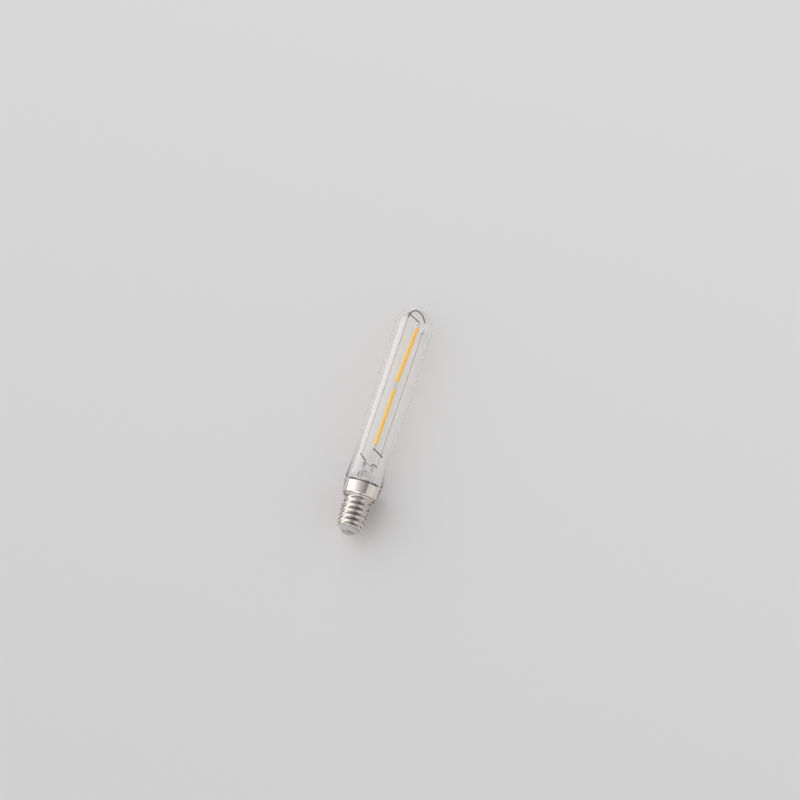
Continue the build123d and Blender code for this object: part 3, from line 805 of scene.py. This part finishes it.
# Contact: a slightly crowned disc with a punched dimple, and its shank
dimple_turns = [pi / 2 * row / DIMPLE_ROWS for row in range(1, DIMPLE_ROWS)]
dimple = [(DIMPLE_RADIUS * sin(turn), DIMPLE_DEPTH * cos(turn)) for turn in dimple_turns]
contact_outline = [
    (0, DIMPLE_DEPTH),
    *dimple,
    *profile(
        (DIMPLE_RADIUS + DIMPLE_LIP_WIDTH, DIMPLE_LIP_DEPTH, 0),
        (DIMPLE_RADIUS + DIMPLE_LAND_WIDTH, 0, DIMPLE_LAND_BEND),
        (contact_radius - CROWN_WIDTH, 0, CROWN_BEND),
        (contact_radius - CONTACT_EDGE_WIDTH, CONTACT_CROWN, CONTACT_EDGE_BEND),
        (contact_radius, CONTACT_EDGE + CONTACT_CROWN, CONTACT_SIDE_BEND),
        (contact_radius, CONTACT_THICKNESS, CONTACT_BACK_BEND),
        (SHANK_RADIUS, CONTACT_THICKNESS, 0),
        (SHANK_RADIUS, contact_high.y, SHANK_BEND),
        (0, contact_high.y, 0),
    ),
]
finish_piece(
    add_object("contact", [lathe(contact_outline)]), contact_metal, "contact_metal", "centre_contact"
)


# Stem: flare, tube pinched into a flat press round the leads, and the exhaust tube inside
def press_ring(height, share, inset=0.0):
    """A ring that turns from the round tube into the flat press as the share goes from 0 to 1."""
    width = blend(STEM_RADIUS, PRESS_WIDTH / 2, share) - inset
    depth = blend(STEM_RADIUS, PRESS_THICKNESS / 2, share) - inset
    power = 2 / blend(2, PRESS_SQUARENESS, share)
    points = []
    for turn in turns(SEGMENTS):
        reach = abs(cos(turn)) ** power * width
        out = abs(sin(turn)) ** power * depth
        reach = reach if cos(turn) > 0 else -reach
        out = out if sin(turn) > 0 else -out
        points.append(across * (reach + PRESS_OFFSET * share) + facing * out + along * height)
    return points


def press_round(radius, height):
    """A ring round the axis that starts in the mount's plane."""
    if radius <= 0:
        return [along * height]
    return [along * height + (across * cos(turn) + facing * sin(turn)) * radius for turn in turns(SEGMENTS)]


def stem_shell():
    """The stem's outside from the press's head down, and its inside up to the exhaust tube's tip."""
    rings = [[across * PRESS_OFFSET + along * press_head]]
    edge_rows = 5
    for row in range(edge_rows, -1, -1):
        turn = pi / 2 * row / edge_rows
        rings.append(press_ring(press_head - PRESS_EDGE * (1 - sin(turn)), 1, PRESS_EDGE * (1 - cos(turn))))
    pinch_rows = 24
    for row in range(pinch_rows + 1):
        share = 1 - row / pinch_rows
        rings.append(press_ring(blend(tube_head, press_foot, share), smooth(share)))
    bell_rows = 16
    for row in range(bell_rows + 1):
        turn = pi / 2 * row / bell_rows
        radius = blend(STEM_RADIUS, neck_bore_radius, 1 - cos(turn))
        rings.append(press_round(radius, neck_foot + STEM_FLARE_HEIGHT * (1 - sin(turn))))
    bore_radius = STEM_RADIUS - GLASS_WALL
    flare_back = neck_foot - GLASS_WALL
    inside = profile(
        (neck_radius, neck_foot, 0),
        (neck_radius, flare_back, STEM_RIM_BEND),
        (bore_radius, flare_back, STEM_FLARE_BEND),
        (bore_radius, tube_head, STEM_BORE_BEND),
        (EXHAUST_RADIUS, tube_head, STEM_BORE_BEND),
        (EXHAUST_RADIUS, neck_foot - EXHAUST_TAIL, EXHAUST_TIP_BEND),
        (0, neck_foot - EXHAUST_TAIL, 0),
    )
    rings += [press_round(radius, height) for radius, height in inside]
    return skin(rings)


exhaust_bore = lathe(
    profile(
        (0, neck_foot - EXHAUST_TAIL + EXHAUST_TIP_WALL, 0),
        (EXHAUST_BORE_RADIUS, neck_foot - EXHAUST_TAIL + EXHAUST_TIP_WALL, EXHAUST_BORE_BEND),
        (EXHAUST_BORE_RADIUS, press_foot, EXHAUST_BORE_BEND),
        (0, press_foot, 0),
    ),
    hollow=True,
    segments=EXHAUST_SEGMENTS,
)
stem = add_object("stem", [stem_shell(), exhaust_bore])
port_foot = along * (press_foot - 2 * EXHAUST_PORT_RADIUS)
port_path = [port_foot, port_foot + facing * EXHAUST_PORT_REACH]
cut(stem, tube(port_path, 2 * EXHAUST_PORT_RADIUS, EXHAUST_PORT_SIDES))
finish_piece(stem, stem_glass, "stem_glass", "glass_stem")


# Wires of the mount: (CAD node, material, slot, diameter, path)
left_bow_foot = on_mount(-left_reach, bow_foot, left_wire_offset)
bow_path = [
    on_mount(bow_middle + bow_radius * cos(turn), bow_foot + bow_radius * sin(turn), left_wire_offset)
    for turn in (blend(BOW_END_TURN, pi, step / BOW_STEPS) for step in range(BOW_STEPS + 1))
]
wires = (
    ("left_inner_lead", lead_metal, "lead_wire", LEAD_DIAMETER, rounded([
        on_mount(-LEAD_SPACING / 2, -LEAD_JOINT_DEPTH, left_lead_offset),
        on_mount(-LEAD_SPACING / 2, LEFT_LEAD_RISE, left_lead_offset),
        on_mount(-left_reach - WELD_TAIL, LEFT_WELD_HEIGHT, left_lead_offset),
    ], [LEAD_BEND])),
    ("right_inner_lead", lead_metal, "lead_wire", LEAD_DIAMETER, rounded([
        on_mount(LEAD_SPACING / 2, -LEAD_JOINT_DEPTH, right_lead_offset),
        on_mount(LEAD_SPACING / 2, RIGHT_LEAD_RISE, right_lead_offset),
        on_mount(right_foot_reach + WELD_TAIL, RIGHT_LEAD_RISE, right_lead_offset),
    ], [LEAD_BEND])),
    ("left_support_wire", wire_metal, "support_wire", SUPPORT_WIRE_DIAMETER, [
        on_mount(-left_reach, LEFT_WIRE_FOOT, left_wire_offset),
        left_bow_foot,
    ]),
    ("right_support_wire", wire_metal, "support_wire", SUPPORT_WIRE_DIAMETER, [
        on_mount(right_foot_reach, RIGHT_WIRE_FOOT, right_wire_offset),
        on_mount(right_head_reach, right_wire_head, right_wire_offset),
    ]),
    ("top_bow", lead_metal, "lead_wire", BOW_DIAMETER, bow_path),
    ("lower_hanger_bar", lead_metal, "lead_wire", BAR_DIAMETER, [
        on_mount(right_foot_reach + BAR_TAIL, LOWER_BAR_HEIGHT - LOWER_BAR_FALL, lower_bar_offset),
        on_mount(FILAMENT_FOOT_REACH - BAR_TAIL, LOWER_BAR_HEIGHT, lower_bar_offset),
    ]),
    ("upper_hanger_bar", lead_metal, "lead_wire", BAR_DIAMETER, [
        on_mount(-left_reach, upper_bar_height + UPPER_BAR_FALL, upper_bar_offset),
        on_mount(FILAMENT_HEAD_REACH + BAR_TAIL, upper_bar_height, upper_bar_offset),
    ]),
)
for node, material, slot, diameter, path in wires:
    finish_piece(add_object(f"{node}_wire", [tube(path, diameter)]), material, slot, node)

bead_foot = on_mount(right_head_reach, right_wire_head - BEAD_FOOT_GRIP, right_wire_offset)
bead_length = (bow_path[0] - bead_foot).length + BEAD_HEAD_GRIP
bead_outline = profile(
    (0, 0, 0),
    (BEAD_FOOT_DIAMETER / 2, 0, BEAD_FOOT_BEND),
    (BEAD_DIAMETER / 2, BEAD_SWELL, BEAD_SWELL_BEND),
    (BEAD_DIAMETER / 2, 2 * BEAD_SWELL, BEAD_SIDE_BEND),
    (BEAD_HEAD_DIAMETER / 2, bead_length, BEAD_HEAD_BEND),
    (0, bead_length, 0),
)
bead = drop(bead_outline, bead_foot, (bow_path[0] - bead_foot).normalized())
finish_piece(add_object("bead", [bead]), stem_glass, "stem_glass", "insulating_bead")


# Filaments and their tabs
lower_foot = on_mount(FILAMENT_FOOT_REACH, lower_filament_foot, TAB_THICKNESS / 2)
lower_head = on_mount(FILAMENT_JOINT_REACH, lower_filament_head, TAB_THICKNESS / 2)
upper_foot = on_mount(FILAMENT_JOINT_REACH, upper_filament_foot, -TAB_THICKNESS / 2)
upper_head = on_mount(FILAMENT_HEAD_REACH, upper_filament_head, -TAB_THICKNESS / 2)
joint_tab = (FILAMENT_GAP + TAB_OVERLAP) / 2
strip_section = bar_section(FILAMENT_WIDTH, FILAMENT_THICKNESS, FILAMENT_ROUND)
tab_section = bar_section(TAB_WIDTH, TAB_THICKNESS, TAB_ROUND)
for node, foot, head, foot_tab, head_tab in (
    ("lower_filament", lower_foot, lower_head, LOWER_TAB_LENGTH + BAR_DIAMETER, joint_tab),
    ("upper_filament", upper_foot, upper_head, joint_tab, UPPER_TAB_LENGTH + BAR_DIAMETER),
):
    way = (head - foot).normalized()
    strip = bar(foot, head, strip_section, FILAMENT_END_EDGE, FILAMENT_ROWS, FILAMENT_WAVER)
    finish_piece(add_object(f"{node}_strip", [strip]), amber, "phosphor", node)
    for end, near, far in (("foot", foot, foot - way * foot_tab), ("head", head, head + way * head_tab)):
        tab = bar(near, far, tab_section, TAB_END_EDGE, TAB_ROWS)
        piece = add_object(f"{node}_{end}_strip", [tab])
        finish_piece(piece, tab_metal, "tab_metal", f"{node}_{end}_tab")


# Driver and cement: solids that stay as they are, with their own finishes
for material, nodes in (
    (solder_mask, ("driver_board",)),
    (sleeve, ("smoothing_capacitor",)),
    (moulding, ("bridge_rectifier", "driver_chip", "sense_resistors")),
    (fired_coat, ("fuse_resistor",)),
    (tinned_wire, ("contact_lead", "shell_lead", "left_outer_lead", "right_outer_lead")),
    (cement, ("base_cement",)),
):
    for node in nodes:
        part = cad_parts[node]
        if not part.material_slots:
            part.data.materials.append(material)
        for material_slot in part.material_slots:
            material_slot.material = material


# Floor: a matt pale board with its sizes in metres, with a painted light falloff that makes it lighter
# towards the far side.
# Metal and glass mirror it with painted shade: darker stretches beside the cap, by the direction from the
# cap: 0 is away from the dome and 1 along the bulb.
FLOOR_HALF = 3.0
# Painted light falloff: the board is paler towards the far side
FLOOR_NEAR = (0.805, 0.788, 0.779)
FLOOR_FAR = (0.880, 0.866, 0.857)
FLOOR_REACH = (-0.14, 0.3)
CAP_MIDDLE = 0.016
# Painted shade: dark stretches of the board that only reflections near the cap see
PAINTED_SHADE_STRETCHES = (
    (0.25, grey(1.0)),
    (0.34, (0.30, 0.29, 0.28)),
    (0.46, (0.30, 0.29, 0.28)),
    (0.53, grey(1.0)),
    (0.73, grey(1.0)),
    (0.80, (0.35, 0.34, 0.33)),
    (0.85, (0.35, 0.34, 0.33)),
    (0.91, grey(1.0)),
)
PAINTED_SHADE_FADE = (0.045, 0.075)
floor_level = -glass_radius * MM


def floor_material():
    """The board's colour with its painted light falloff, and painted shade stretches where it is mirrored
    near the cap.
    """
    material, tree, shader = new_material("pale_floor")
    coordinates = tree.nodes.new("ShaderNodeTexCoord")
    axes = tree.nodes.new("ShaderNodeSeparateXYZ")
    from_cap = add_node(tree, "ShaderNodeVectorMath", operation="SUBTRACT")
    from_cap.inputs[1].default_value = (0, CAP_MIDDLE, floor_level)
    way = add_node(tree, "ShaderNodeVectorMath", operation="NORMALIZE")
    way_axes = tree.nodes.new("ShaderNodeSeparateXYZ")
    painted_falloff = ramp_through(tree, (0.0, FLOOR_NEAR), (1.0, FLOOR_FAR))
    painted_shade = ramp_through(tree, *PAINTED_SHADE_STRETCHES)
    path = tree.nodes.new("ShaderNodeLightPath")
    painted_shade_share = add_node(tree, "ShaderNodeMath", operation="MULTIPLY")
    mirrored = add_node(tree, "ShaderNodeMix", data_type="RGBA", blend_type="MULTIPLY")
    tree.links.new(coordinates.outputs["Object"], axes.inputs["Vector"])
    tree.links.new(map_range(tree, axes.outputs["Y"], *FLOOR_REACH), painted_falloff.inputs["Fac"])
    tree.links.new(coordinates.outputs["Object"], from_cap.inputs[0])
    tree.links.new(from_cap.outputs["Vector"], way.inputs[0])
    tree.links.new(way.outputs["Vector"], way_axes.inputs["Vector"])
    tree.links.new(map_range(tree, way_axes.outputs["Y"], -1.0, 1.0), painted_shade.inputs["Fac"])
    # The painted shade shows only to mirroring rays, and fades out away from the cap
    tree.links.new(path.outputs["Is Glossy Ray"], painted_shade_share.inputs[0])
    near_cap = map_range(tree, axes.outputs["Y"], *PAINTED_SHADE_FADE, low=1.0, high=0.0)
    tree.links.new(near_cap, painted_shade_share.inputs[1])
    tree.links.new(painted_shade_share.outputs["Value"], mirrored.inputs["Factor"])
    tree.links.new(painted_falloff.outputs["Color"], mirrored.inputs["A"])
    tree.links.new(painted_shade.outputs["Color"], mirrored.inputs["B"])
    tree.links.new(mirrored.outputs["Result"], shader.inputs["Base Color"])
    shader.inputs["Roughness"].default_value = 0.8
    shader.inputs["Specular IOR Level"].default_value = 0.2
    return material


floor_mesh = bpy.data.meshes.new("floor")
floor_mesh.from_pydata(
    [(x * FLOOR_HALF, y * FLOOR_HALF, floor_level) for x, y in ((-1, -1), (1, -1), (1, 1), (-1, 1))],
    [],
    [(0, 1, 2, 3)],
)
floor_mesh.materials.append(floor_material())
floor = bpy.data.objects.new("floor", floor_mesh)
bpy.context.collection.objects.link(floor)


# Light round the bulb's axis, from the left horizon at 0 over the top to the right horizon at 1:
# a wide window, a dim ceiling and a pale wall
STUDIO_LIGHT = (
    (0.00, (2.45, 2.47, 2.50)),
    (0.07, (1.86, 1.88, 1.91)),
    (0.17, (1.69, 1.71, 1.74)),
    (0.29, (1.53, 1.55, 1.58)),
    (0.41, (1.03, 1.04, 1.06)),
    (0.53, grey(0.67)),
    (0.65, grey(0.42)),
    (0.70, grey(0.35)),
    (0.72, grey(1.00)),
    (0.90, grey(1.04)),
    (1.00, grey(1.10)),
)
# Share of that light that matt surfaces get
PLAIN_SHARE = 0.78
# Share of it that is mirrored, by the direction along the bulb: 0 is away from the dome and 1 beyond it
MIRRORED_SHARE = (
    (0.23, grey(0.88)),
    (0.29, (0.20, 0.19, 0.19)),
    (0.35, (0.045, 0.04, 0.035)),
    (0.455, (0.045, 0.04, 0.035)),
    (0.495, grey(0.50)),
    (0.55, grey(0.74)),
    (0.68, grey(0.74)),
    (0.72, (0.03, 0.025, 0.02)),
)
# How much brighter the window's part towards the dome is mirrored, round the bulb's axis
WINDOW_GLEAM = (
    (0.00, grey(2.4)),
    (0.14, grey(2.2)),
    (0.22, grey(1.1)),
    (0.30, grey(1.0)),
)
WINDOW_NEAR_END = 0.1
LIGHT_BOUNCES = 32


def studio_world():
    """The studio as matt and mirroring surfaces see it. The camera and clear glass see a plain backdrop."""
    world = bpy.data.worlds.new("studio")
    world.use_nodes = True
    tree = world.node_tree
    coordinates = tree.nodes.new("ShaderNodeTexCoord")
    axes = tree.nodes.new("ShaderNodeSeparateXYZ")
    angle = add_node(tree, "ShaderNodeMath", operation="ARCTAN2")
    light = ramp_through(tree, *STUDIO_LIGHT)
    mirrored = ramp_through(tree, *MIRRORED_SHARE)
    window = ramp_through(tree, *WINDOW_GLEAM)
    ahead = add_node(tree, "ShaderNodeMath", operation="GREATER_THAN")
    ahead.inputs[1].default_value = WINDOW_NEAR_END
    gleam = add_node(tree, "ShaderNodeMix", data_type="RGBA", blend_type="MULTIPLY")
    share = add_node(tree, "ShaderNodeMix", data_type="RGBA")
    share.inputs["A"].default_value = (*grey(PLAIN_SHARE), 1)
    lit = add_node(tree, "ShaderNodeVectorMath", operation="MULTIPLY")
    path = tree.nodes.new("ShaderNodeLightPath")
    seen = add_node(tree, "ShaderNodeMath", operation="MAXIMUM")
    backdrop = add_node(tree, "ShaderNodeMix", data_type="RGBA")
    backdrop.inputs["B"].default_value = (*FLOOR_FAR, 1)
    tree.links.new(coordinates.outputs["Generated"], axes.inputs["Vector"])
    tree.links.new(axes.outputs["X"], angle.inputs[0])
    tree.links.new(axes.outputs["Z"], angle.inputs[1])
    turn = map_range(tree, angle.outputs["Value"], -pi / 2, pi / 2)
    tree.links.new(turn, light.inputs["Fac"])
    tree.links.new(turn, window.inputs["Fac"])
    tree.links.new(map_range(tree, axes.outputs["Y"], -1.0, 1.0), mirrored.inputs["Fac"])
    tree.links.new(axes.outputs["Y"], ahead.inputs[0])
    tree.links.new(ahead.outputs["Value"], gleam.inputs["Factor"])
    tree.links.new(mirrored.outputs["Color"], gleam.inputs["A"])
    tree.links.new(window.outputs["Color"], gleam.inputs["B"])
    tree.links.new(path.outputs["Is Glossy Ray"], share.inputs["Factor"])
    tree.links.new(gleam.outputs["Result"], share.inputs["B"])
    tree.links.new(light.outputs["Color"], lit.inputs[0])
    tree.links.new(share.outputs["Result"], lit.inputs[1])
    tree.links.new(path.outputs["Is Camera Ray"], seen.inputs[0])
    tree.links.new(path.outputs["Is Transmission Ray"], seen.inputs[1])
    tree.links.new(seen.outputs["Value"], backdrop.inputs["Factor"])
    tree.links.new(lit.outputs["Vector"], backdrop.inputs["A"])
    tree.links.new(backdrop.outputs["Result"], tree.nodes["Background"].inputs["Color"])
    return world


scene = bpy.context.scene
scene.world = studio_world()
scene.view_settings.view_transform = "Standard"
scene.cycles.max_bounces = LIGHT_BOUNCES
scene.cycles.transmission_bounces = LIGHT_BOUNCES

# Camera: high over the cap's end, looking along the bulb from a little to the right, in metres
CAMERA_TARGET = Vector((0, 0.060, 0))
CAMERA_DISTANCE = 1.2
CAMERA_AZIMUTH = radians(16.91)
CAMERA_ELEVATION = radians(70.61)
CAMERA_LENS = 108.59
CAMERA_SHIFT = (0.02114, 0.02846)
camera = bpy.data.objects.new("camera", bpy.data.cameras.new("camera"))
bpy.context.collection.objects.link(camera)
back = Vector((
    sin(CAMERA_AZIMUTH) * cos(CAMERA_ELEVATION),
    -cos(CAMERA_AZIMUTH) * cos(CAMERA_ELEVATION),
    sin(CAMERA_ELEVATION),
))
camera.location = CAMERA_TARGET + back * CAMERA_DISTANCE
camera.rotation_euler = back.to_track_quat("Z", "Y").to_euler()
camera.data.lens = CAMERA_LENS
camera.data.shift_x, camera.data.shift_y = CAMERA_SHIFT
camera.data.clip_start = 0.01
camera.data.clip_end = 20.0
scene.camera = camera
